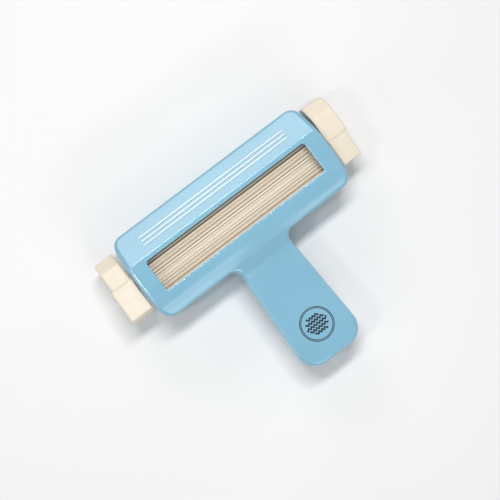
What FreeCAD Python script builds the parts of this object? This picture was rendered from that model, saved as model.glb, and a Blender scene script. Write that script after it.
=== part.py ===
import FreeCAD, Part
import math
import os
import Sketcher
from FreeCAD import Placement, Rotation, Vector

# Hand-held paper crimper, millimetres.  X runs along the rollers, Y points from the handle
# to the top of the head, Z points out of the entry window.  The tool lies on the flat back of
# its head at z = 0, and the rollers' shafts are at z = ShaftZ.

doc = FreeCAD.newDocument("PaperCrimper")

# ---------------------------------------------------------------- driving dimensions
SIZES = [
    # head and handle, seen from the front
    ("RoofTall", 20.1, "from the crease up to the top edge of the head"),
    ("LowBand", 15.1, "from the windows down to the bottom edge of the head"),
    ("HandleLong", 80.1, "from the bottom edge of the head to the handle's end"),
    ("HeadHalfTop", 71.4, "half width of the head at its top edge"),
    ("SideTaper", 0.5, "how much wider the head is at its bottom edge, each side"),
    ("SideBow", 245.0, "radius of the head's bowed sides"),
    ("NeckHalf", 18.8, "half width of the handle at the head"),
    ("HandleHalf", 22.4, "half width of the handle near its end"),
    ("TopCornerRound", 7.5, "corner radius at the top of the head"),
    ("LowCornerRound", 8.5, "corner radius at the bottom of the head"),
    ("NeckRound", 5.2, "hollow radius between head and handle"),
    ("HandleRound", 12.5, "corner radius at the handle's end"),
    ("Wall", 2.4, "wall thickness of the shells"),
    ("EdgeRound", 2.6, "radius round the outer edges"),
    ("CreaseRound", 1.2, "radius of the crease below the roof"),
    ("FrontLipRound", 28.0, "radius at the lower end of the entry face"),
    ("FrontBendRound", 25.0, "radius where the front's lower slope steepens"),
    ("FrontSlopeRound", 16.0, "hollow radius where the front's slope meets the handle"),
    ("BackLipRound", 9.0, "radius at the lower end of the resting face"),
    ("BackBendRound", 7.0, "radius where the back's lower slope steepens"),
    ("BackSlopeRound", 9.0, "hollow radius where the back's slope meets the handle"),
    ("WindowEdge", 0.7, "rounding of the windows' outer edges"),
    # depths, measured from the resting plane
    ("ShaftZ", 25.2, "height of both shafts, and of the parting plane"),
    ("Seam", 0.25, "bevel of both shells along the parting plane"),
    ("FrontDepth", 17.0, "entry face in front of the shafts"),
    ("RoofDrop", 9.8, "fall of the front roof towards the top edge"),
    ("BendDrop", 2.1, "fall of the front's lower slope down to its bend"),
    ("HandleFront", 9.3, "handle's front face in front of the shafts"),
    ("BackRoofDrop", 14.7, "fall of the back roof towards the top edge"),
    ("BackBendDrop", 2.6, "fall of the back's lower slope down to its bend"),
    ("HandleBack", 12.0, "handle's back face behind the shafts"),
    ("CreaseOver", 3.1, "from the windows up to the front crease"),
    ("LipUnder", 4.0, "from the windows down to the end of the entry face"),
    ("BendOver", 2.6, "height of both bends above the bottom edge of the head"),
    ("SlopeUnder", 8.9, "how far the slopes run on below the bottom edge of the head"),
    ("BackCreaseOver", 7.0, "from the windows up to the back crease"),
    ("BackLipUnder", 8.0, "from the windows down to the end of the resting face"),
    # windows
    ("WindowLap", 3.2, "how far the rollers run on beyond the windows' ends"),
    ("WindowMid", 36.0, "middle of the windows"),
    ("WindowTall", 22.0, "height of the windows"),
    ("WindowRound", 2.0, "corner radius of the windows"),
    # the three fine lines on the roof
    ("LineInset", 5.6, "how far the raised lines end inside the windows' ends"),
    ("LineOver", 11.3, "from the crease up to the topmost raised line"),
    ("LinePitch", 2.75, "distance between the raised lines"),
    ("LineWide", 0.85, "width of a raised line"),
    ("LineRise", 0.3, "how far a raised line stands out"),
    ("LineSink", 0.5, "how far a raised line runs into the roof"),
    # rollers and shafts
    ("NipLow", 0.55, "how far the rollers meet below the windows' middle"),
    ("RootClear", 0.3, "clearance of a rib's tip in the other roller"),
    ("RibTip", 8.2, "radius over a roller's ribs"),
    ("RibHeight", 1.4, "height of the ribs"),
    ("RibNose", 0.36, "radius of a rib's nose"),
    ("RibFoot", 0.62, "half width of a rib at its foot"),
    ("RibCount", 20, "ribs on each roller"),
    ("RibSink", 0.4, "how far a rib's foot runs into the roller's core"),
    ("AxialPlay", 0.3, "play at each face of a thrust washer"),
    ("ShaftRadius", 3.0, "radius of both shafts"),
    ("ShaftFit", 0.03, "running clearance of a shaft, radial"),
    ("SeatFit", 0.02, "clearance of parts that are fixed together"),
    ("IdlerSeat", 5.5, "length of the idler shaft in each bush"),
    ("ShaftInKnob", 6.4, "length of the drive shaft in each knob"),
    ("PlainInKnob", 0.8, "plain length of the shaft in a knob before the serrations"),
    # bearings
    ("WasherThick", 0.9, "thickness of the thrust washers"),
    ("WasherLess", 1.2, "how much smaller the thrust washers are than the bush flanges"),
    ("FlangeInset", 5.4, "bush flanges' inner face inside the head's ends"),
    ("FlangeThick", 1.6, "thickness of the bush flanges"),
    ("FlangeApart", 0.25, "from a bush flange to the middle between the shafts"),
    ("BushWall", 2.6, "wall of the bushes"),
    ("BushProud", 2.8, "how far the drive bushes stand out of the head's ends"),
    ("RibPlate", 3.0, "thickness of the shells' bearing walls"),
    # knobs
    ("HubLong", 0.5, "length of the hub behind a knob"),
    ("KnobThick", 15.0, "length of a knob along its shaft"),
    ("KnobHalf", 22.25, "half of a knob's longer side"),
    ("KnobDeep", 10.0, "half of a knob's shorter side"),
    ("SlantAlong", 8.75, "slanted corner of a knob, along its longer side"),
    ("SlantAcross", 6.8, "slanted corner of a knob, along its shorter side"),
    ("RimProud", 0.25, "how far the rim next to the body stands out"),
    ("KnobCorner", 1.5, "corner radius of a knob"),
    ("KnobRim", 2.2, "length of the full-size rim next to the body"),
    ("KnobBevel", 1.0, "bevel on the rim next to the body"),
    ("KnobEdge", 0.8, "bevel on a knob's outer edges"),
    ("StepDeep", 0.8, "depth of the step in a knob's faces"),
    ("StepEnd", 1.3, "depth of the step in a knob's end"),
    ("StepRamp", 2.0, "length of the ramp between a step's levels"),
    ("LeftStep", -0.5, "offset of the left knob's step from its middle, towards the full half"),
    ("RightStep", -3.7, "offset of the right knob's step from its middle, towards the full half"),
    ("HubRadius", 7.7, "radius of the hub behind a knob"),
    ("HubGap", 0.3, "gap between a drive bush and the knob's hub"),
    ("RightTurn", 8.0, "turn of the right knob about its shaft"),
    ("LeftTurn", 173.0, "turn of the left knob about its shaft"),
    ("BoreEase", 0.05, "clearance of a knob's bore behind the serrations"),
    ("WebThick", 2.0, "thickness of the web that the screw pulls on"),
    ("RecessRadius", 6.2, "radius of the recess in a knob's end"),
    ("KnobScrewRadius", 1.5, "thread radius of the knob screws"),
    ("KnobScrewLong", 11.0, "length of the knob screws under the head"),
    ("KnobHoleEase", 0.15, "clearance of the knob screws in their holes"),
    ("KnobHeadRadius", 3.2, "head radius of the knob screws"),
    ("KnobHeadThick", 1.8, "head height of the knob screws"),
    ("CapThick", 1.4, "thickness of the caps"),
    ("CapRim", 1.6, "width of the flat ring round the dish of a cap"),
    ("CapDish", 0.4, "depth of the dish of a cap"),
    ("CapGap", 0.3, "space between a knob screw and its cap"),
    ("ShaftEndGap", 0.2, "space between the end of a shaft and what closes its bore"),
    # shell screws
    ("ScrewInset", 3.8, "from the windows' ends in to the head's screws"),
    ("ScrewTopIn", 9.7, "upper screws below the top edge of the head"),
    ("ScrewLowIn", 5.9, "lower screws above the bottom edge of the head"),
    ("ScrewNeckDown", 17.9, "the neck's screw below the bottom edge of the head"),
    ("ScrewEndIn", 14.2, "last screw above the handle's end"),
    ("PostWall", 1.7, "wall of the screw posts"),
    ("WellWall", 1.3, "wall of the wells of the screw heads"),
    ("WellEase", 0.5, "clearance of the screw heads in their wells"),
    ("WellDeep", 8.0, "distance from the parting plane to a head's seat"),
    ("ScrewRadius", 1.4, "thread radius of the shell screws"),
    ("ScrewEase", 0.3, "clearance of the shell screws in the back shell"),
    ("ScrewHead", 3.1, "head radius of the shell screws"),
    ("ScrewHeadThick", 2.0, "head height of the shell screws"),
    ("ScrewReach", 5.6, "how far a shell screw enters the front shell"),
    ("PilotMore", 0.8, "how much deeper a pilot hole is than its screw"),
    ("CrossWide", 0.8, "width of a cross recess"),
    ("CrossLong", 3.2, "length of a cross recess"),
    ("CrossDeep", 1.0, "depth of a cross recess"),
]

# sizes and places that follow from the driving dimensions
DERIVED = {
    # across the head, from its ends inwards and outwards
    "HeadHalfLow": "HeadHalfTop + SideTaper",
    "FlangeStart": "HeadHalfTop - FlangeInset",
    "WasherStart": "FlangeStart - AxialPlay - WasherThick",
    "RollerHalf": "WasherStart - AxialPlay",
    "WindowHalf": "RollerHalf - WindowLap",
    "LineHalf": "WindowHalf - LineInset",
    "ScrewX": "WindowHalf - ScrewInset",
    "IdlerHalf": "FlangeStart + IdlerSeat",
    "IdlerBushEnd": "IdlerHalf + ShaftEndGap",
    "DriveBushEnd": "HeadHalfTop + BushProud",
    "HubStart": "DriveBushEnd + HubGap",
    "KnobStart": "HubStart + HubLong",
    "SplineStart": "KnobStart + PlainInKnob",
    "DriveHalf": "KnobStart + ShaftInKnob",
    # along the tool, from the windows upwards and downwards
    "WindowTop": "WindowMid + WindowTall / 2",
    "WindowLow": "WindowMid - WindowTall / 2",
    "Crease": "WindowTop + CreaseOver",
    "BackCrease": "WindowTop + BackCreaseOver",
    "HeadTop": "Crease + RoofTall",
    "LineTop": "Crease + LineOver",
    "Lip": "WindowLow - LipUnder",
    "BackLip": "WindowLow - BackLipUnder",
    "HeadLow": "WindowLow - LowBand",
    "Bend": "HeadLow + BendOver",
    "SlopeEnd": "HeadLow - SlopeUnder",
    "HandleEnd": "HeadLow - HandleLong",
    "DriveY": "WindowMid - NipLow + ShaftGap / 2",
    "IdlerY": "DriveY - ShaftGap",
    "ScrewTopY": "HeadTop - ScrewTopIn",
    "ScrewLowY": "HeadLow + ScrewLowIn",
    "ScrewNeckY": "HeadLow - ScrewNeckDown",
    "ScrewEndY": "HandleEnd + ScrewEndIn",
    # depths
    "FrontTopDepth": "FrontDepth - RoofDrop",
    "FrontBendDepth": "FrontDepth - BendDrop",
    "BackTopDepth": "ShaftZ - BackRoofDrop",
    "BackBendDepth": "ShaftZ - BackBendDrop",
    # ribs in mesh, bearings and screws
    "RibRoot": "RibTip - RibHeight",
    "ShaftGap": "RibTip + RibRoot + RootClear",
    "DriveTurn": "180 / RibCount",
    "BushRadius": "ShaftRadius + BushWall",
    "FlangeRadius": "ShaftGap / 2 - FlangeApart",
    "WasherRadius": "FlangeRadius - WasherLess",
    "BoreRadius": "ShaftRadius + BoreEase",
    "KnobScrewHole": "KnobScrewRadius + KnobHoleEase",
    "PostRadius": "ScrewRadius + PostWall",
    "ScrewHole": "ScrewRadius + ScrewEase",
    "WellBore": "ScrewHead + WellEase",
    "WellRadius": "WellBore + WellWall",
}

sheet = doc.addObject("Spreadsheet::Sheet", "Sizes")
sheet.set("A1", "Name")
sheet.set("B1", "Millimetres, degrees or count")
sheet.set("C1", "Meaning")
for row, (alias, number, note) in enumerate(SIZES, start=2):
    sheet.set("A%d" % row, alias)
    sheet.set("B%d" % row, str(number))
    sheet.set("C%d" % row, note)
    sheet.setAlias("B%d" % row, alias)
doc.recompute()


# ---------------------------------------------------------------- helpers
def link(text):
    """Turn a formula over the size names into an expression on the sheet."""
    names = sorted([entry[0] for entry in SIZES] + list(DERIVED), key=len, reverse=True)
    out = []
    at = 0
    while at < len(text):
        hit = next((n for n in names if text.startswith(n, at)), None)
        if hit:
            out.append("(%s)" % link(DERIVED[hit]) if hit in DERIVED else "Sizes." + hit)
            at += len(hit)
        else:
            out.append(text[at])
            at += 1
    return "".join(out)


def bind(obj, prop, text):
    obj.setExpression(prop, link(text))


def place(obj, x="0", y="0", z="0"):
    """Bind an object's position; its rotation stays as it was set."""
    for axis, text in zip("xyz", (x, y, z)):
        bind(obj, "Placement.Base." + axis, text)


def new_body(name):
    body = doc.addObject("PartDesign::Body", name)
    doc.recompute()
    return body


def plane_of(body, role):
    return next(f for f in body.Origin.OriginFeatures if f.Role == role)


scratch = doc.addObject("Spreadsheet::Sheet", "Scratch")


def value(text):
    """The present number of a formula over the size names."""
    scratch.set("A1", "=" + link(text))
    scratch.recompute()
    return float(scratch.get("A1"))


def outline(body, name, plane, points, arcs=None, lift=None):
    """A closed outline, counter-clockwise, whose corners are all bound to the sheet.

    arcs gives the radius of each side that bulges out instead of running straight.
    """
    arcs = arcs or {}
    sketch = doc.addObject("Sketcher::SketchObject", name)
    body.addObject(sketch)
    sketch.AttachmentSupport = [(plane_of(body, plane), "")]
    sketch.MapMode = "FlatFace"
    if lift:
        bind(sketch, "AttachmentOffset.Base.z", lift)
    count = len(points)
    spots = [Vector(value(x), value(y), 0) for x, y in points]
    for i in range(count):
        start = spots[i]
        end = spots[(i + 1) % count]
        if i not in arcs:
            sketch.addGeometry(Part.LineSegment(start, end), False)
            continue
        radius = value(arcs[i])
        chord = end - start
        rise = radius - math.sqrt(radius ** 2 - chord.Length ** 2 / 4.0)
        outward = Vector(chord.y, -chord.x, 0).normalize()
        top = (start + end) * 0.5 + outward * rise
        sketch.addGeometry(Part.Arc(start, top, end), False)
        at = sketch.addConstraint(Sketcher.Constraint("Radius", i, radius))
        bind(sketch, "Constraints[%d]" % at, arcs[i])
    for i in range(count):
        joint = Sketcher.Constraint("Coincident", i, 2, (i + 1) % count, 1)
        sketch.addConstraint(joint)
    for i, (across, along) in enumerate(points):
        at = sketch.addConstraint(Sketcher.Constraint("DistanceX", -1, 1, i, 1, spots[i].x))
        bind(sketch, "Constraints[%d]" % at, across)
        at = sketch.addConstraint(Sketcher.Constraint("DistanceY", -1, 1, i, 1, spots[i].y))
        bind(sketch, "Constraints[%d]" % at, along)
    doc.recompute()
    return sketch


def pad(body, name, sketch, length, symmetric=False):
    feature = doc.addObject("PartDesign::Pad", name)
    body.addObject(feature)
    feature.Profile = sketch
    if symmetric:
        feature.SideType = "Symmetric"
    bind(feature, "Length", length)
    sketch.Visibility = False
    doc.recompute()
    return feature


def pocket_across(body, name, sketch):
    """Cut everything inside the sketch, both ways from its plane."""
    feature = doc.addObject("PartDesign::Pocket", name)
    body.addObject(feature)
    feature.Profile = sketch
    feature.SideType = "Symmetric"
    feature.Type = "ThroughAll"
    sketch.Visibility = False
    before = body.Shape.Volume
    doc.recompute()
    if body.Shape.Volume > before - 0.01:
        raise RuntimeError(name + " cuts nothing")
    return feature


def dress(body, name, kind, prop, size, chosen):
    """Fillet or chamfer the edges of the body's tip that chosen(edge) picks."""
    tip = body.Tip
    edges = []
    for i, edge in enumerate(tip.Shape.Edges, start=1):
        if not edge.Degenerated and chosen(edge):
            edges.append("Edge%d" % i)
    if not edges:
        raise RuntimeError(name + " found no edges")
    feature = doc.addObject("PartDesign::" + kind, name)
    body.addObject(feature)
    feature.Base = (tip, edges)
    bind(feature, prop, size)
    doc.recompute()
    if feature.Shape.isNull() or not feature.Shape.isValid():
        raise RuntimeError(name + " failed")
    return feature


def middle(edge):
    return edge.valueAt((edge.FirstParameter + edge.LastParameter) / 2.0)


def straight_along(edge, axis):
    """True for a straight edge that runs along the axis."""
    if edge.Degenerated or not isinstance(edge.Curve, Part.Line):
        return False
    way = edge.Vertexes[-1].Point - edge.Vertexes[0].Point
    return abs(abs(way.normalize().dot(axis)) - 1.0) < 1e-6


def cylinder(name, radius, length, x="0", y="0", z="0", along="z"):
    item = doc.addObject("Part::Cylinder", name)
    turn = {"z": Rotation(), "x": Rotation(Vector(0, 1, 0), 90)}[along]
    item.Placement = Placement(Vector(), turn)
    bind(item, "Radius", radius)
    bind(item, "Height", length)
    place(item, x, y, z)
    return item


def box(name, length, width, height, x, y, z):
    item = doc.addObject("Part::Box", name)
    bind(item, "Length", length)
    bind(item, "Width", width)
    bind(item, "Height", height)
    place(item, x, y, z)
    return item


def cut(name, base, tool):
    item = doc.addObject("Part::Cut", name)
    item.Base = base
    item.Tool = tool
    doc.recompute()
    return item


def common(name, base, tool):
    item = doc.addObject("Part::Common", name)
    item.Base = base
    item.Tool = tool
    doc.recompute()
    return item


def fuse(name, shapes):
    item = doc.addObject("Part::MultiFuse", name)
    item.Shapes = shapes
    doc.recompute()
    return item


AXIS_X = Vector(1, 0, 0)
AXIS_Y = Vector(0, 1, 0)
AXIS_Z = Vector(0, 0, 1)
TO_RIGHT = Rotation(AXIS_Y, 90)
TO_LEFT = Rotation(AXIS_Y, -90)
nodes = []


def node(item, label):
    """Name a finished sub-part."""
    item.Label = label
    nodes.append(item)
    return item


# ---------------------------------------------------------------- the two shells
def tee(inset):
    """Corner points of the T-shaped outline, moved inward by the inset."""
    half = [
        ("HandleHalf - " + inset, "HandleEnd + " + inset),
        ("NeckHalf - " + inset, "HeadLow + " + inset),
        ("HeadHalfLow - " + inset, "HeadLow + " + inset),
        ("HeadHalfTop - " + inset, "HeadTop - " + inset),
    ]
    mirrored = [("-(%s)" % x, y) for x, y in reversed(half)]
    return half + mirrored


def tee_block(name, inset, depth, top_depth, crease, lip, bend_depth, handle_depth):
    """A T-shaped block on the parting plane, with sloped roof and lower slope."""
    body = new_body(name)
    bow = "SideBow - " + inset
    sketch = outline(body, name + "Tee", "XY_Plane", tee(inset), arcs={2: bow, 4: bow})
    pad(body, name + "Pad", sketch, "%s - %s" % (depth, inset))
    shift = value(inset)
    neck = (value("NeckHalf") + value("HeadHalfLow")) / 2.0
    rounds = [
        ("TopCornerRound - " + inset, value("HeadTop") - shift, True),
        ("LowCornerRound - " + inset, value("HeadLow") + shift, True),
        ("NeckRound + " + inset, value("HeadLow") + shift, False),
        ("HandleRound - " + inset, value("HandleEnd") + shift, False),
    ]
    for i, (radius, height, wide) in enumerate(rounds):
        def corner(edge):
            if not straight_along(edge, AXIS_Z):
                return False
            spot = middle(edge)
            return abs(spot.y - height) < 0.01 and (abs(spot.x) > neck) == wide
        dress(body, "%sCorner%d" % (name, i), "Fillet", "Radius", radius, corner)
    over = "%s + 5" % depth
    roof = [
        (crease, "%s - %s" % (depth, inset)),
        ("HeadTop", "%s - %s" % (top_depth, inset)),
        ("HeadTop + 5", "%s - %s" % (top_depth, inset)),
        ("HeadTop + 5", over),
        (crease, over),
    ]
    pocket_across(body, name + "Roof", outline(body, name + "RoofLine", "YZ_Plane", roof))
    slope = [
        (lip, "%s - %s" % (depth, inset)),
        ("Bend", "%s - %s" % (bend_depth, inset)),
        ("SlopeEnd", "%s - %s" % (handle_depth, inset)),
        ("HandleEnd - 5", "%s - %s" % (handle_depth, inset)),
        ("HandleEnd - 5", over),
        (lip, over),
    ]
    pocket_across(body, name + "Slope", outline(body, name + "SlopeLine", "YZ_Plane", slope))
    return body


front_outer = tee_block("FrontOuter", "0", "FrontDepth", "FrontTopDepth", "Crease", "Lip",
                        "FrontBendDepth", "HandleFront")
back_outer = tee_block("BackOuter", "0", "ShaftZ", "BackTopDepth", "BackCrease", "BackLip",
                       "BackBendDepth", "HandleBack")
front_hollow = tee_block("FrontHollow", "Wall", "FrontDepth", "FrontTopDepth", "Crease", "Lip",
                         "FrontBendDepth", "HandleFront")
back_hollow = tee_block("BackHollow", "Wall", "ShaftZ", "BackTopDepth", "BackCrease", "BackLip",
                        "BackBendDepth", "HandleBack")


def across_at(height, depth):
    """Picks the straight edge along X at a height and depth."""
    y = value(height)
    z = value(depth)

    def chosen(edge):
        if not straight_along(edge, AXIS_X):
            return False
        spot = middle(edge)
        return abs(spot.y - y) < 0.3 and abs(spot.z - z) < 0.3
    return chosen


def rim_edges(shape):
    """Picks the edges between the upright outer walls and the faces in front of them."""
    keys = set()
    for edge in shape.Edges:
        if edge.Degenerated:
            continue
        upright = 0
        faces = shape.ancestorsOfType(edge, Part.Face)
        for face in faces:
            box_of = face.BoundBox
            u, v = face.Surface.parameter(middle(edge))
            if abs(face.normalAt(u, v).z) < 1e-6 and box_of.ZMin < 0.01:
                upright += 1
        if upright == 1 and len(faces) == 2 and middle(edge).z > 0.5:
            spot = middle(edge)
            keys.add((round(spot.x, 3), round(spot.y, 3), round(spot.z, 3)))

    def chosen(edge):
        spot = middle(edge)
        return (round(spot.x, 3), round(spot.y, 3), round(spot.z, 3)) in keys
    return chosen


def finish_outside(body, name, depth, crease, lip, bend_depth, handle_depth):
    """Blend the creases, round the rim and cut the window into an outer block."""
    blends = [
        ("Crease", "CreaseRound", crease, depth),
        ("Lip", name + "LipRound", lip, depth),
        ("Bend", name + "BendRound", "Bend", bend_depth),
        ("Slope", name + "SlopeRound", "SlopeEnd", handle_depth),
    ]
    for part_name, radius, height, level in blends:
        dress(body, name + part_name, "Fillet", "Radius", radius, across_at(height, level))
    dress(body, name + "Rim", "Fillet", "Radius", "EdgeRound", rim_edges(body.Tip.Shape))
    window = [
        ("-WindowHalf", "WindowLow"),
        ("WindowHalf", "WindowLow"),
        ("WindowHalf", "WindowTop"),
        ("-WindowHalf", "WindowTop"),
    ]
    pocket_across(body, name + "Window", outline(body, name + "WindowLine", "XY_Plane", window))
    half = value("WindowHalf")
    dress(body, name + "WindowCorners", "Fillet", "Radius", "WindowRound",
          lambda edge: straight_along(edge, AXIS_Z) and abs(abs(middle(edge).x) - half) < 0.01)
    level = value(depth)
    tall = value("WindowTall") / 2.0 + 0.1
    mid = value("WindowMid")

    def window_edge(edge):
        spot = middle(edge)
        inside = abs(spot.x) < half + 0.1 and abs(spot.y - mid) < tall
        return inside and abs(spot.z - level) < 0.01
    dress(body, name + "WindowEdge", "Fillet", "Radius", "WindowEdge", window_edge)

    def seam_edge(edge):
        spot = middle(edge)
        inside = abs(spot.x) < half + 0.1 and abs(spot.y - mid) < tall
        return edge.BoundBox.ZMax < 0.01 and not inside
    dress(body, name + "Seam", "Chamfer", "Size", "Seam", seam_edge)
    return body


finish_outside(front_outer, "Front", "FrontDepth", "Crease", "Lip", "FrontBendDepth", "HandleFront")
finish_outside(back_outer, "Back", "ShaftZ", "BackCrease", "BackLip", "BackBendDepth", "HandleBack")


def roof_at(height, rise):
    """Formula of a point on the front roof, moved outward by rise."""
    run = "(%s - Crease) * (FrontDepth - FrontTopDepth) / (HeadTop - Crease)" % height
    return "FrontDepth - %s + %s" % (run, rise)


def raised_line(index):
    """One fine line that stands out of the front roof."""
    upper = "(LineTop - %d * LinePitch + LineWide / 2)" % index
    lower = "(LineTop - %d * LinePitch - LineWide / 2)" % index
    body = new_body("RoofLine%d" % index)
    points = [
        (lower, roof_at(lower, "(-LineSink)")),
        (upper, roof_at(upper, "(-LineSink)")),
        (upper, roof_at(upper, "LineRise")),
        (lower, roof_at(lower, "LineRise")),
    ]
    sketch = outline(body, "RoofLineShape%d" % index, "YZ_Plane", points)
    pad(body, "RoofLinePad%d" % index, sketch, "2 * LineHalf", symmetric=True)
    return body


SCREW_SPOTS = [
    ("-ScrewX", "ScrewTopY"),
    ("ScrewX", "ScrewTopY"),
    ("-ScrewX", "ScrewLowY"),
    ("ScrewX", "ScrewLowY"),
    ("0", "ScrewNeckY"),
    ("0", "ScrewEndY"),
]


def columns(name, radius, start, length):
    """A round column at every screw, along the depth."""
    items = []
    for i, (x, y) in enumerate(SCREW_SPOTS):
        items.append(cylinder("%s%d" % (name, i), radius, length, x, y, start))
    return items


def bearing_walls(name, depth):
    """The two inner walls that carry the bushes together with the end walls."""
    start = "(FlangeStart + FlangeThick)"
    tall = "HeadTop - HeadLow"
    right = box(name + "Right", "RibPlate", tall, depth, start, "HeadLow", "0")
    left = box(name + "Left", "RibPlate", tall, depth, "-%s - RibPlate" % start, "HeadLow", "0")
    return [right, left]


def bush_seats(name):
    """Round seats for the four bushes, half of each in either shell."""
    start = "(FlangeStart + FlangeThick - 0.5)"
    radius = "BushRadius + SeatFit"
    through = "HeadHalfTop + 5 - " + start
    blind = "IdlerBushEnd + ShaftEndGap - " + start
    items = []
    for tag, drive_x, idler_x in (
        ("Right", start, start),
        ("Left", "-(HeadHalfTop + 5)", "-(IdlerBushEnd + ShaftEndGap)"),
    ):
        items.append(cylinder(name + "Drive" + tag, radius, through, drive_x, "DriveY", "0", "x"))
        items.append(cylinder(name + "Idler" + tag, radius, blind, idler_x,
                              "IdlerY", "0", "x"))
    return items


def shell(name, outer, hollow, depth, extras, holes):
    """Hollow block with bearing walls and screw columns inside it."""
    skin = cut(name + "Skin", outer, hollow)
    ribs = fuse(name + "Inside", bearing_walls(name + "Wall", depth) + extras)
    kept = common(name + "Kept", outer, ribs)
    solid = fuse(name + "Solid", [skin, kept])
    return cut(name + "Shell", solid, fuse(name + "Holes", holes + bush_seats(name + "Seat")))


posts = columns("FrontPost", "PostRadius", "0", "FrontDepth")
pilots = columns("FrontPilot", "ScrewRadius + SeatFit", "-1", "ScrewReach + PilotMore + 1")
front = shell("Front", front_outer, front_hollow, "FrontDepth", posts, pilots)
lines = [raised_line(i) for i in range(3)]
front_shell = node(fuse("FrontShellLined", [front] + lines), "front_shell")
front_shell.Placement = Placement(Vector(), Rotation())
bind(front_shell, "Placement.Base.z", "ShaftZ")

necks = columns("BackNeck", "PostRadius", "0", "WellDeep")
wells = columns("BackWell", "WellRadius", "WellDeep - 2", "ShaftZ")
well_bores = columns("BackWellBore", "WellBore", "WellDeep", "ShaftZ")
screw_bores = columns("BackScrewBore", "ScrewHole", "-1", "ShaftZ")
back = shell("Back", back_outer, back_hollow, "ShaftZ", necks + wells, well_bores + screw_bores)
back_shell = node(back, "back_shell")
back_shell.Placement = Placement(Vector(), Rotation(AXIS_Y, 180))
bind(back_shell, "Placement.Base.z", "ShaftZ")


# ---------------------------------------------------------------- rollers
def rib_outline():
    """Half-round ridge on a tapered foot, standing on the roller's core along +X."""
    foot = value("RibFoot")
    core = value("RibRoot - RibSink")
    nose = value("RibNose")
    top = value("RibTip") - nose
    reach = math.hypot(foot, value("RibRoot") - top)
    turn = math.atan2(foot, value("RibRoot") - top) - math.acos(nose / reach)
    touch = Vector(top + nose * math.cos(turn), nose * math.sin(turn), 0)
    tip = Vector(top + nose, 0, 0)
    low = Vector(value("RibRoot"), foot, 0)
    base = Vector(core, foot, 0)
    flip = [Vector(p.x, -p.y, 0) for p in (base, low, touch)]
    return [
        Part.LineSegment(flip[0], flip[1]),
        Part.LineSegment(flip[1], flip[2]),
        Part.Arc(flip[2], tip, touch),
        Part.LineSegment(touch, low),
        Part.LineSegment(low, base),
        Part.LineSegment(base, flip[0]),
    ]


def roller(name, turn):
    """Core with ribs all round, bored for its shaft."""
    body = new_body(name)
    core = doc.addObject("Sketcher::SketchObject", name + "CoreSketch")
    body.addObject(core)
    core.AttachmentSupport = [(plane_of(body, "XY_Plane"), "")]
    core.MapMode = "FlatFace"
    for alias in ("RibRoot", "ShaftRadius + SeatFit"):
        ring = core.addGeometry(Part.Circle(Vector(), AXIS_Z, value(alias)), False)
        core.addConstraint(Sketcher.Constraint("Coincident", ring, 3, -1, 1))
        at = core.addConstraint(Sketcher.Constraint("Radius", ring, value(alias)))
        bind(core, "Constraints[%d]" % at, alias)
    pad(body, name + "Core", core, "2 * RollerHalf", symmetric=True)
    ridge = doc.addObject("Sketcher::SketchObject", name + "RibSketch")
    body.addObject(ridge)
    ridge.AttachmentSupport = [(plane_of(body, "XY_Plane"), "")]
    ridge.MapMode = "FlatFace"
    for item in rib_outline():
        ridge.addGeometry(item, False)
    for i in (0, 3, 4, 5):
        ridge.addConstraint(Sketcher.Constraint("Coincident", i, 2, (i + 1) % 6, 1))
    ridge.addConstraint(Sketcher.Constraint("Symmetric", 0, 1, 4, 2, -1))
    ridge.addConstraint(Sketcher.Constraint("Symmetric", 0, 2, 3, 2, -1))
    ridge.addConstraint(Sketcher.Constraint("PointOnObject", 2, 3, -1))
    ridge.addConstraint(Sketcher.Constraint("Tangent", 1, 2, 2, 1))
    ridge.addConstraint(Sketcher.Constraint("Tangent", 2, 2, 3, 1))
    ridge.addConstraint(Sketcher.Constraint("Horizontal", 0))
    bound = [
        (("DistanceX", -1, 1, 4, 2), "RibRoot - RibSink"),
        (("DistanceX", -1, 1, 4, 1), "RibRoot"),
        (("DistanceY", -1, 1, 4, 1), "RibFoot"),
        (("DistanceX", -1, 1, 2, 3), "RibTip - RibNose"),
        (("Radius", 2), "RibNose"),
    ]
    for parts, text in bound:
        at = ridge.addConstraint(Sketcher.Constraint(*parts, value(text)))
        bind(ridge, "Constraints[%d]" % at, text)
    rib = pad(body, name + "Rib", ridge, "2 * RollerHalf", symmetric=True)
    ring = doc.addObject("PartDesign::PolarPattern", name + "Ribs")
    body.addObject(ring)
    ring.Originals = [rib]
    ring.Axis = (plane_of(body, "Z_Axis"), "")
    ring.Angle = 360.0
    bind(ring, "Occurrences", "RibCount")
    body.Tip = ring
    doc.recompute()
    body.Placement = Placement(Vector(), Rotation(AXIS_X, turn) * TO_RIGHT)
    return body


drive_roller = node(roller("DriveRoller", value("DriveTurn")), "drive_roller")
place(drive_roller, "0", "DriveY", "ShaftZ")
idler_roller = node(roller("IdlerRoller", 0.0), "idler_roller")
place(idler_roller, "0", "IdlerY", "ShaftZ")


# ---------------------------------------------------------------- shafts
def serrated(name, radius, start, length):
    """Shaft end with 24 fine points: four hexagons, each turned by a sixteenth more."""
    items = []
    for i in range(4):
        item = doc.addObject("Part::Prism", "%s%d" % (name, i))
        item.Polygon = 6
        item.Placement = Placement(Vector(), Rotation(AXIS_Z, 15.0 * i))
        bind(item, "Circumradius", radius)
        bind(item, "Height", length)
        place(item, "0", "0", start)
        items.append(item)
    return fuse(name, items)


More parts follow.
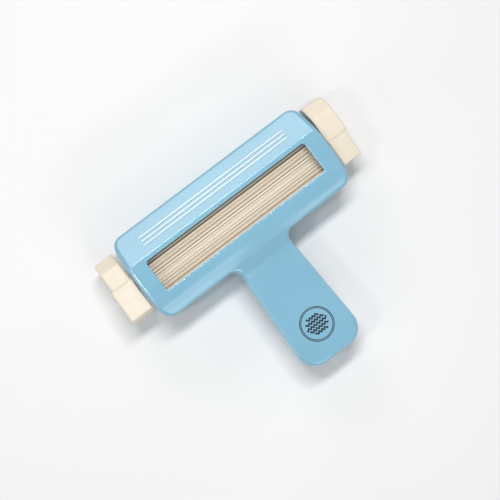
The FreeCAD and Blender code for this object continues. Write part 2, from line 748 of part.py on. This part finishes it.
drive_bar = cylinder("DriveBar", "ShaftRadius", "2 * SplineStart", z="-SplineStart")
drive_solid = fuse("DriveSolid", [
    drive_bar,
    serrated("UpperTeeth", "ShaftRadius", "SplineStart", "DriveHalf - SplineStart"),
    serrated("LowerTeeth", "ShaftRadius", "-DriveHalf", "DriveHalf - SplineStart"),
])
tapped = "(DriveHalf - KnobScrewLong)"
drive_holes = fuse("DriveHoles", [
    cylinder("UpperTap", "KnobScrewRadius + SeatFit", "KnobScrewLong + 1", z=tapped),
    cylinder("LowerTap", "KnobScrewRadius + SeatFit", "KnobScrewLong + 1", z="-DriveHalf - 1"),
])
drive_shaft = node(cut("DriveShaft", drive_solid, drive_holes), "drive_shaft")
drive_shaft.Placement = Placement(Vector(), TO_RIGHT)
place(drive_shaft, "0", "DriveY", "ShaftZ")

idler_shaft = cylinder("IdlerShaft", "ShaftRadius", "2 * IdlerHalf", "-IdlerHalf",
                       "IdlerY", "ShaftZ", "x")
node(idler_shaft, "idler_shaft")


# ---------------------------------------------------------------- bearings
def on_shaft(item, side, height):
    """Put a piece that was built along +Z from the middle onto a shaft's end."""
    item.Placement = Placement(Vector(), TO_RIGHT if side > 0 else TO_LEFT)
    place(item, "0", height, "ShaftZ")
    return item


def washer(name, side, height):
    disc = cylinder(name + "Disc", "WasherRadius", "WasherThick", z="WasherStart")
    bore = cylinder(name + "Bore", "ShaftRadius + SeatFit", "WasherThick + 2", z="WasherStart - 1")
    return on_shaft(cut(name, disc, bore), side, height)


def bush(name, side, height, end):
    flange = cylinder(name + "Flange", "FlangeRadius", "FlangeThick", z="FlangeStart")
    sleeve = cylinder(name + "Sleeve", "BushRadius", end + " - FlangeStart - 0.1",
                      z="FlangeStart + 0.1")
    bore = cylinder(name + "Bore", "ShaftRadius + ShaftFit", end + " - FlangeStart + 2",
                    z="FlangeStart - 1")
    return on_shaft(cut(name, fuse(name + "Solid", [flange, sleeve]), bore), side, height)


for side, tag in ((-1, "left"), (1, "right")):
    for line, height, end in (
        ("drive", "DriveY", "DriveBushEnd"),
        ("idler", "IdlerY", "IdlerBushEnd"),
    ):
        key = line.capitalize() + tag.capitalize()
        node(bush(key + "Bush", side, height, end), "%s_bush_%s" % (line, tag))
        node(washer(key + "Washer", side, height), "%s_washer_%s" % (line, tag))


# ---------------------------------------------------------------- knobs
def six_sided(side, along, across, slant_long, slant_wide):
    """Corners of a knob's section: a bar that is slanted off at two opposite corners."""
    corners = [
        ("-(%s)" % across, "-(%s)" % along),
        ("%s - %s" % (across, slant_wide), "-(%s)" % along),
        (across, "-(%s - %s)" % (along, slant_long)),
        (across, along),
        ("-(%s - %s)" % (across, slant_wide), along),
        ("-(%s)" % across, "%s - %s" % (along, slant_long)),
    ]
    return facing(side, corners)


def facing(side, corners):
    """Corners for a right knob, or their mirror image for a left knob."""
    if side > 0:
        return corners
    return [("-(%s)" % x, y) for x, y in reversed(corners)]


def knob(name, side, turn, step):
    """Slanted bar whose lower half is stepped back on two faces and at its end."""
    block = new_body(name + "Block")
    long_half = "(KnobHalf - RimProud)"
    half = "(KnobDeep - RimProud)"
    low = "(KnobDeep - RimProud - StepDeep)"
    ramp_low = "(%s - StepRamp / 2)" % step
    ramp_high = "(%s + StepRamp / 2)" % step
    section = facing(side, [
        ("-" + low, "-" + long_half),
        (low + " - SlantAcross", "-" + long_half),
        (low, "-(%s - SlantAlong)" % long_half),
        (low, ramp_low),
        (half, ramp_high),
        (half, long_half),
        ("-(%s - SlantAcross)" % half, long_half),
        ("-" + half, long_half + " - SlantAlong"),
        ("-" + half, ramp_high),
        ("-" + low, ramp_low),
    ])
    pad(block, name + "Pad", outline(block, name + "Section", "XY_Plane", section), "KnobThick")
    away = abs(value(step)) + value("StepRamp")
    dress(block, name + "Corners", "Fillet", "Radius", "KnobCorner",
          lambda edge: straight_along(edge, AXIS_Z) and abs(middle(edge).y) > away)
    far = "-KnobHalf - 5"
    end = [
        (far, "KnobThick - StepEnd"),
        (ramp_low, "KnobThick - StepEnd"),
        (ramp_high, "KnobThick"),
        (ramp_high, "KnobThick + 5"),
        (far, "KnobThick + 5"),
    ]
    pocket_across(block, name + "EndPocket", outline(block, name + "EndStep", "YZ_Plane", end))
    limit = value("KnobThick - StepEnd") - 0.01
    dress(block, name + "Edge", "Chamfer", "Size", "KnobEdge",
          lambda edge: edge.BoundBox.ZMin > limit and outer_edge(edge))
    rim = new_body(name + "Rim")
    full = six_sided(side, "KnobHalf", "KnobDeep", "SlantAlong", "SlantAcross")
    pad(rim, name + "RimPad", outline(rim, name + "Whole", "XY_Plane", full), "KnobRim")
    dress(rim, name + "RimCorners", "Fillet", "Radius", "KnobCorner",
          lambda edge: straight_along(edge, AXIS_Z))
    dress(rim, name + "Bevel", "Chamfer", "Size", "KnobBevel",
          lambda edge: edge.BoundBox.ZMax < 0.01)
    hub = cylinder(name + "Hub", "HubRadius", "KnobStart - HubStart + 1", z="HubStart - KnobStart")
    web = "(DriveHalf + ShaftEndGap - KnobStart)"
    plain = "(SplineStart + 0.3 - KnobStart)"
    hollow = fuse(name + "Hollow", [
        cylinder(name + "Bore", "BoreRadius", "%s + 3" % plain, z="-3"),
        serrated(name + "Grip", "ShaftRadius + SeatFit", "%s - 0.1" % plain,
                 "%s - %s + 0.1" % (web, plain)),
        cylinder(name + "ScrewWay", "KnobScrewHole", "WebThick + 2", z="%s - 1" % web),
        cylinder(name + "Recess", "RecessRadius", "KnobThick", z="%s + WebThick" % web),
    ])
    solid = fuse(name + "Solid", [block, rim, hub])
    item = cut(name, solid, hollow)
    way = TO_RIGHT if side > 0 else TO_LEFT
    item.Placement = Placement(Vector(), Rotation(AXIS_X, turn) * way)
    place(item, "KnobStart" if side > 0 else "-KnobStart", "DriveY", "ShaftZ")
    return item


def outer_edge(edge):
    """True for an edge on the outside of a knob, not the line where its end steps."""
    spot = middle(edge)
    return abs(spot.x) > value("KnobDeep - SlantAcross") / 2.0 or abs(spot.y) > value("KnobHalf") / 2.0


# where the head of a knob screw sits, from the middle of the shaft
KNOB_SEAT = "(DriveHalf + ShaftEndGap + WebThick + SeatFit)"


def cap_dimple(key):
    """Shallow dish in the outer face of a knob's cap."""
    face = "(%s + KnobHeadThick + CapGap + CapThick)" % KNOB_SEAT
    return cylinder(key + "CapDish", "RecessRadius - CapRim", "1", z=face + " - CapDish")


def cross_cut(name, top):
    """Cross recess in a screw head whose outer face is at z = top."""
    long_bar = box(name + "Long", "CrossLong", "CrossWide", "CrossDeep + 1",
                   "-CrossLong / 2", "-CrossWide / 2", top + " - CrossDeep")
    wide_bar = box(name + "Wide", "CrossWide", "CrossLong", "CrossDeep + 1",
                   "-CrossWide / 2", "-CrossLong / 2", top + " - CrossDeep")
    return fuse(name, [long_bar, wide_bar])


def screw(name, thread, length, head, head_thick, seat):
    """Screw along Z, its head above z = seat and its thread below."""
    solid = fuse(name + "Solid", [
        cylinder(name + "Thread", thread, length + " + 0.5", z="%s - (%s)" % (seat, length)),
        cylinder(name + "Head", head, head_thick, z=seat),
    ])
    return cut(name, solid, cross_cut(name + "Cross", "%s + %s" % (seat, head_thick)))


for side, tag, turn, step in ((-1, "left", "LeftTurn", "LeftStep"), (1, "right", "RightTurn", "RightStep")):
    key = tag.capitalize()
    node(knob(key + "Knob", side, value(turn), step), tag + "_knob")
    fastener = screw(key + "KnobScrew", "KnobScrewRadius", "KnobScrewLong - WebThick",
                     "KnobHeadRadius", "KnobHeadThick", KNOB_SEAT)
    node(on_shaft(fastener, side, "DriveY"), tag + "_knob_screw")
    lid = cylinder(key + "KnobCap", "RecessRadius - SeatFit", "CapThick",
                   z="%s + KnobHeadThick + CapGap" % KNOB_SEAT)
    node(on_shaft(cut(key + "KnobCapDished", lid, cap_dimple(key)), side, "DriveY"),
         tag + "_knob_cap")


# ---------------------------------------------------------------- shell screws
fasteners = []
for i, (x, y) in enumerate(SCREW_SPOTS):
    item = screw("ShellScrew%d" % i, "ScrewRadius", "WellDeep + ScrewReach", "ScrewHead",
                 "ScrewHeadThick", "WellDeep + SeatFit")
    item.Placement = Placement(Vector(), Rotation(AXIS_Y, 180))
    place(item, x, y, "ShaftZ")
    fasteners.append(item)
shell_screws = doc.addObject("Part::Compound", "ShellScrews")
shell_screws.Links = fasteners
node(shell_screws, "shell_screws")


# ---------------------------------------------------------------- checks and files
doc.removeObject(scratch.Name)
doc.recompute()
for item in doc.Objects:
    if "Invalid" in item.State or "Error" in item.State:
        raise RuntimeError("%s is in state %s" % (item.Label, item.State))
os.makedirs("parts", exist_ok=True)
for item in nodes:
    shape = item.Shape
    if shape.isNull() or not shape.isValid() or not shape.Solids:
        raise RuntimeError(item.Label + " has no valid shape")
    shape.exportStep("parts/%s.step" % item.Label)
    print(item.Label, round(shape.Volume, 1), len(shape.Solids), shape.BoundBox)
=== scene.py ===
import math

import bmesh
import bpy
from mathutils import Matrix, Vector


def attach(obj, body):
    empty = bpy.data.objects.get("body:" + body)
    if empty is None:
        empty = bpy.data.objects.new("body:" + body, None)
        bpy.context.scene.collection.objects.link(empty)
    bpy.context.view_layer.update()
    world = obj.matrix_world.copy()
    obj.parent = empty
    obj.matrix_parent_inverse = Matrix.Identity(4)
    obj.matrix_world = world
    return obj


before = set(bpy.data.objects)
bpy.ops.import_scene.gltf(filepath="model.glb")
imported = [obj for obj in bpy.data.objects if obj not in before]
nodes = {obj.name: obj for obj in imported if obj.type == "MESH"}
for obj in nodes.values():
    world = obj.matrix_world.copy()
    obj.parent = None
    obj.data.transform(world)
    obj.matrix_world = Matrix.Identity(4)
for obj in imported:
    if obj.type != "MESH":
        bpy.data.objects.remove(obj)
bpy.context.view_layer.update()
MM = 0.001

# sizes of the CAD solids, in mm, that the rollers' colours and the scene's own pieces have to meet;
# FRONT and TOP_FRONT are how far the head's front reaches in front of the shafts, low and at its top edge
SHAFT_Z, DRIVE_Y, IDLER_Y = 25.2, 43.1, 27.8
RIB_ROOT, RIB_TIP = 6.8, 8.2
CREASE, HEAD_TOP, FRONT, TOP_FRONT = 50.1, 70.2, 17.0, 7.2
LINE_TOP, LINE_PITCH, LINE_WIDE, LINE_HALF = 61.4, 2.75, 0.85, 55.7
LINE_COUNT = 3
HANDLE_FACE_Z = 34.5


# ------------------------------------------------------------------ materials
class Shade:
    """A Principled material whose colour, roughness and bump can come from nodes in object space."""

    def __init__(self, name, roughness, **sockets):
        self.mat = bpy.data.materials.new(name)
        self.mat.use_nodes = True
        self.tree = self.mat.node_tree
        self.shader = self.tree.nodes["Principled BSDF"]
        self.shader.inputs["Roughness"].default_value = roughness
        for key, number in sockets.items():
            self.shader.inputs[key.replace("_", " ")].default_value = number
        self.place = self.tree.nodes.new("ShaderNodeTexCoord").outputs["Object"]
        self.height = None

    def node(self, kind, **settings):
        made = self.tree.nodes.new("ShaderNode" + kind)
        for key, setting in settings.items():
            setattr(made, key, setting)
        return made

    def link(self, out, socket):
        self.tree.links.new(out, socket)

    def noise(self, size, detail, stretch=(1, 1, 1)):
        """Noise whose features are about size metres across, drawn out along an axis by stretch."""
        scale = self.node("Mapping")
        scale.inputs["Scale"].default_value = [1.0 / (size * s) for s in stretch]
        self.link(self.place, scale.inputs["Vector"])
        made = self.node("TexNoise")
        made.inputs["Scale"].default_value = 1.0
        made.inputs["Detail"].default_value = detail
        self.link(scale.outputs["Vector"], made.inputs["Vector"])
        return made.outputs["Fac"]

    def distance_from_axis(self, y, z):
        """Distance in metres from the line along X at that y and z."""
        centred = self.node("Mapping")
        centred.inputs["Location"].default_value = (0.0, -y, -z)
        centred.inputs["Scale"].default_value = (0.0, 1.0, 1.0)
        self.link(self.place, centred.inputs["Vector"])
        made = self.node("VectorMath", operation="LENGTH")
        self.link(centred.outputs["Vector"], made.inputs[0])
        return made.outputs["Value"]

    def rescale(self, value, bottom, top, low, high):
        """Maps bottom..top onto low..high, held at both ends."""
        made = self.node("MapRange")
        made.inputs["From Min"].default_value = bottom
        made.inputs["From Max"].default_value = top
        made.inputs["To Min"].default_value = low
        made.inputs["To Max"].default_value = high
        self.link(value, made.inputs["Value"])
        return made.outputs["Result"]

    def spread(self, fac, low, high):
        """Maps the middle range of a noise onto low..high."""
        return self.rescale(fac, 0.3, 0.7, low, high)

    def colours(self, fac, stops):
        made = self.node("ValToRGB")
        ramp = made.color_ramp
        while len(ramp.elements) < len(stops):
            ramp.elements.new(0.5)
        for element, (at, colour) in zip(ramp.elements, stops):
            element.position = at
            element.color = (*colour, 1.0)
        self.link(fac, made.inputs["Fac"])
        return made.outputs["Color"]

    def specks(self, size):
        """A faint fine mottle, to multiply a colour with."""
        fleck, clear = (0.985, 0.985, 0.985), (1.0, 1.0, 1.0)
        return self.colours(self.noise(size, 2.0), [(0.35, fleck), (0.65, clear)])

    def multiply(self, first, second):
        """Product of two colours. Inputs 6 and 7 and output 2 are the node's colour sockets."""
        made = self.node("Mix", data_type="RGBA", blend_type="MULTIPLY")
        made.inputs[0].default_value = 1.0
        self.link(first, made.inputs[6])
        self.link(second, made.inputs[7])
        return made.outputs[2]

    def colour(self, out):
        self.link(out, self.shader.inputs["Base Color"])

    def roughness(self, out):
        self.link(out, self.shader.inputs["Roughness"])

    def bump(self, fac, depth):
        """Adds a relief of that depth in metres."""
        made = self.node("Bump")
        made.inputs["Strength"].default_value = 1.0
        made.inputs["Distance"].default_value = depth
        self.link(fac, made.inputs["Height"])
        if self.height:
            self.link(self.height, made.inputs["Normal"])
        self.height = made.outputs["Normal"]
        self.link(self.height, self.shader.inputs["Normal"])


def moulded(name, colour, roughness, shift, wave=0.00002, **sockets):
    """Injection-moulded plastic: faint flow clouds, slight sink waviness and fine skin grain."""
    made = Shade(name, roughness, **sockets)
    clouds = made.noise(0.022, 3.0, stretch=(1.8, 1, 1))
    dark = tuple(c * (1 - shift) for c in colour)
    light = tuple(min(1.0, c * (1 + shift)) for c in colour)
    tone = made.colours(clouds, [(0.32, dark), (0.68, light)])
    made.colour(made.multiply(tone, made.specks(0.0009)))
    made.roughness(made.spread(made.noise(0.006, 3.0), roughness * 0.8, roughness * 1.25))
    made.bump(made.noise(0.011, 1.0), wave)
    made.bump(made.noise(0.0011, 2.0), 0.000004)
    return made


def turned_steel(name, colour, roughness):
    """Ground or turned steel: fine rings round the axis that runs along X, and a few dull patches."""
    made = Shade(name, roughness, Metallic=1.0)
    rings = made.noise(0.0006, 3.0, stretch=(0.4, 14, 14))
    tone = made.colours(rings, [(0.3, tuple(c * 0.82 for c in colour)), (0.7, colour)])
    dull = made.colours(made.noise(0.004, 3.0), [(0.35, (0.8, 0.79, 0.77)), (0.6, (1, 1, 1))])
    made.colour(made.multiply(tone, dull))
    made.roughness(made.spread(rings, roughness * 0.7, roughness * 1.4))
    made.bump(rings, 0.000006)
    return made


def ribbed(name, axis_y):
    """Satin ivory that darkens towards the ribs' roots, in place of shade that the lamps don't give."""
    made = Shade(name, 0.42)
    reach = made.distance_from_axis(axis_y * MM, SHAFT_Z * MM)
    up_the_rib = made.rescale(reach, RIB_ROOT * MM, RIB_TIP * MM, 0.0, 1.0)
    tone = made.colours(up_the_rib, [(0.0, (0.56, 0.45, 0.33)), (0.35, (0.82, 0.71, 0.56)),
                                     (0.7, (0.97, 0.89, 0.75)), (1.0, (0.98, 0.92, 0.79))])
    made.colour(made.multiply(tone, made.specks(0.003)))
    return made


blue = moulded("blue_gloss_plastic", (0.228, 0.480, 0.635), 0.12, shift=0.03, wave=0.000007,
               Specular_IOR_Level=0.8)
ivory = moulded("ivory_plastic", (0.835, 0.738, 0.605), 0.40, shift=0.02, Specular_IOR_Level=0.35)
drive_ivory = ribbed("drive_roller_ivory", DRIVE_Y)
idler_ivory = ribbed("idler_roller_ivory", IDLER_Y)
acetal = moulded("natural_acetal", (0.780, 0.770, 0.720), 0.42, shift=0.03)
steel = turned_steel("ground_steel", (0.62, 0.62, 0.63), 0.28)
zinc = turned_steel("zinc_plated_steel", (0.66, 0.67, 0.70), 0.34)
white = moulded("white_foil", (0.97, 0.98, 0.98), 0.30, shift=0.01)
ink = moulded("black_print", (0.014, 0.017, 0.024), 0.36, shift=0.3)

# the bushes and washers aren't listed and get natural acetal
LOOKS = {
    "front_shell": blue, "back_shell": blue,
    "drive_roller": drive_ivory, "idler_roller": idler_ivory,
    "left_knob": ivory, "right_knob": ivory, "left_knob_cap": ivory, "right_knob_cap": ivory,
    "drive_shaft": steel, "idler_shaft": steel,
    "left_knob_screw": zinc, "right_knob_screw": zinc, "shell_screws": zinc,
}
for name, obj in nodes.items():
    look = LOOKS.get(name, acetal)
    obj.data.materials.clear()
    obj.data.materials.append(look.mat)


# ------------------------------------------------------------------ pieces
def piece(name, mesh, look, body="housing"):
    obj = bpy.data.objects.new(name, mesh)
    bpy.context.scene.collection.objects.link(obj)
    obj.data.materials.append(look.mat)
    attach(obj, body)


def finished(bm, name):
    bmesh.ops.recalc_face_normals(bm, faces=bm.faces)
    mesh = bpy.data.meshes.new(name)
    bm.to_mesh(mesh)
    bm.free()
    for face in mesh.polygons:
        face.use_smooth = True
    return mesh


def skin(bm, rings, closed=False):
    """Faces between rings of equal counts, round a closed loop or along a bar with two end caps."""
    following = rings[1:] + rings[:1] if closed else rings[1:]
    for a, b in zip(rings, following):
        for k in range(len(a)):
            j = (k + 1) % len(a)
            bm.faces.new((a[k], a[j], b[j], b[k]))
    if not closed:
        bm.faces.new(rings[0])
        bm.faces.new(list(reversed(rings[-1])))


# ------------------------------------------------------------------ white strips over the roof's lines
STRIP_HALF = LINE_WIDE / 2 + 0.03
STRIP_SIDE, STRIP_SHOULDER, STRIP_CROWN = 0.24, 0.31, 0.36      # heights over the roof
SHOULDER_IN, CROWN_HALF = 0.05, 0.12
STRIP_END, STRIP_FULL = LINE_HALF + 0.1, LINE_HALF - 0.12       # half lengths, over all and at full height
END_SHARE = 0.7                                                 # of the height, left at the ends
ROOF_FALL = (FRONT - TOP_FRONT) / (HEAD_TOP - CREASE)


def strip_section():
    """Outline of a round-topped strip, as pairs of place along the roof and height over it."""
    left = [(-STRIP_HALF, 0.0), (-STRIP_HALF, STRIP_SIDE),
            (-STRIP_HALF + SHOULDER_IN, STRIP_SHOULDER), (-CROWN_HALF, STRIP_CROWN)]
    return left + [(-along, up) for along, up in reversed(left)]


def roof_stripes():
    """One white strip over each raised line of the roof."""
    bm = bmesh.new()
    tilt = math.atan(ROOF_FALL)
    for i in range(LINE_COUNT):
        mid = LINE_TOP - i * LINE_PITCH
        base = SHAFT_Z + FRONT - (mid - CREASE) * ROOF_FALL
        rings = []
        for x, share in ((-STRIP_END, END_SHARE), (-STRIP_FULL, 1.0), (STRIP_FULL, 1.0),
                         (STRIP_END, END_SHARE)):
            ring = []
            for along, up in strip_section():
                lift = up * share
                y = mid + along * math.cos(tilt) + lift * math.sin(tilt)
                z = base - along * math.sin(tilt) + lift * math.cos(tilt)
                ring.append(bm.verts.new((x * MM, y * MM, z * MM)))
            rings.append(ring)
        skin(bm, rings)
    return finished(bm, "roof_stripes")


piece("roof_stripes", roof_stripes(), white)


# ------------------------------------------------------------------ a plain printed badge on the handle
BADGE_Y, BADGE_RISE = -47.5, 0.03
RING_RADII, RING_WIDE, RING_STEPS = (10.85, 10.0), 0.5, 96
WAVE_ROWS = ((5.0, 4.4), (2.5, 6.6), (0.0, 7.7), (-2.5, 6.6), (-5.0, 4.4))  # place along Y, half length
WAVE_WIDE, WAVE_SWING, WAVE_LONG, WAVE_STEPS = 0.9, 0.75, 2.2, 60


def band(bm, points, closed, wide):
    """A flat raised band of even width along points in the handle's face."""
    count = len(points)
    rings = []
    for i, p in enumerate(points):
        before = points[i - 1] if closed or i else p
        after = points[(i + 1) % count] if closed or i < count - 1 else p
        way = (after - before).normalized()
        side = Vector((-way.y, way.x)) * wide / 2
        ring = []
        for s, rise in ((1, 0.0), (1, BADGE_RISE), (-1, BADGE_RISE), (-1, 0.0)):
            spot = p + side * s
            ring.append(bm.verts.new((spot.x * MM, (BADGE_Y + spot.y) * MM,
                                      (HANDLE_FACE_Z + rise) * MM)))
        rings.append(ring)
    skin(bm, rings, closed)


def circle(radius):
    turns = [2 * math.pi * i / RING_STEPS for i in range(RING_STEPS)]
    return [Vector((math.cos(t), math.sin(t))) * radius for t in turns]


def wavy_line(row, half):
    """Points from -half to half along X, on a sine wave about that row."""
    places = [-half + 2 * half * i / WAVE_STEPS for i in range(WAVE_STEPS + 1)]
    return [Vector((x, row + WAVE_SWING * math.sin(x * 2 * math.pi / WAVE_LONG))) for x in places]


def badge():
    """Two rings round five waves, the pattern that the rollers press."""
    bm = bmesh.new()
    for radius in RING_RADII:
        band(bm, circle(radius), True, RING_WIDE)
    for row, half in WAVE_ROWS:
        band(bm, wavy_line(row, half), False, WAVE_WIDE)
    return finished(bm, "handle_badge")


piece("handle_badge", badge(), ink)


# ------------------------------------------------------------------ floor
FLOOR_HALF, FLOOR_DROP = 3.0, 0.0002        # metres; the drop keeps it clear of the tool's flat back


def floor():
    bm = bmesh.new()
    bmesh.ops.create_grid(bm, x_segments=1, y_segments=1, size=FLOOR_HALF)
    mesh = bpy.data.meshes.new("floor")
    bm.to_mesh(mesh)
    bm.free()
    obj = bpy.data.objects.new("floor", mesh)
    bpy.context.scene.collection.objects.link(obj)
    obj.location.z = -FLOOR_DROP
    look = Shade("pale_floor", 0.7)
    grey, pale = (0.85, 0.85, 0.85), (0.88, 0.88, 0.88)
    look.colour(look.colours(look.noise(0.3, 2.0), [(0.3, grey), (0.7, pale)]))
    obj.data.materials.append(look.mat)


floor()


# ------------------------------------------------------------------ light
def softbox(name, place, target, wide, tall, power):
    """A rectangular white lamp. Its wide side lies along X where the target has the lamp's own x."""
    lamp = bpy.data.lights.new(name, "AREA")
    lamp.shape = "RECTANGLE"
    lamp.size = wide
    lamp.size_y = tall
    lamp.energy = power
    obj = bpy.data.objects.new(name, lamp)
    bpy.context.scene.collection.objects.link(obj)
    obj.location = place
    aim = Vector(target) - Vector(place)
    obj.rotation_euler = aim.to_track_quat("-Z", "Y").to_euler()


MID = (0.0, 0.02, 0.02)
softbox("box_top", (0.12, 1.19, 0.82), MID, 0.66, 0.36, 2.35)
softbox("box_low", (-0.10, -1.15, 0.62), MID, 0.70, 0.10, 2.5)
softbox("box_left", (-1.10, 0.05, 0.50), MID, 0.45, 0.90, 1.7)
softbox("box_right", (1.10, 0.05, 0.50), MID, 0.45, 0.90, 1.1)
softbox("strip_top", (0.085, 0.27, 0.92), (0.085, 0.02, 0.02), 0.44, 0.11, 4.9)
softbox("strip_over", (-0.12, -0.41, 0.945), (-0.12, 0.02, 0.02), 0.38, 0.10, 0.22)
softbox("box_under_left", (-0.10, -0.55, 0.78), (-0.10, 0.02, 0.02), 0.28, 0.26, 0.53)
softbox("box_under_right", (0.22, -0.55, 0.78), (0.22, 0.02, 0.02), 0.16, 0.26, 0.22)
softbox("strip_left", (-0.52, 0.08, 0.86), MID, 0.03, 0.14, 0.9)

world = bpy.data.worlds.new("studio")
bpy.context.scene.world = world
world.use_nodes = True
world.node_tree.nodes["Background"].inputs["Color"].default_value = (1.0, 1.0, 1.0, 1.0)
world.node_tree.nodes["Background"].inputs["Strength"].default_value = 0.24


# ------------------------------------------------------------------ camera
PICTURE_WIDE, FOCAL_LENGTH = 500.0, 1200.0          # both in pixels
SENSOR_WIDE = 36.0
CAMERA_PLACE = (-0.06690, 0.00492, 0.77818)
CAMERA_TURN = (3.4502, -3.3342, -37.4684)           # degrees

camera = bpy.data.cameras.new("camera")
camera.sensor_width = SENSOR_WIDE
camera.lens = FOCAL_LENGTH / PICTURE_WIDE * SENSOR_WIDE
view = bpy.data.objects.new("camera", camera)
bpy.context.scene.collection.objects.link(view)
view.location = CAMERA_PLACE
view.rotation_euler = [math.radians(angle) for angle in CAMERA_TURN]
bpy.context.scene.camera = view
bpy.context.scene.view_settings.view_transform = "Standard"
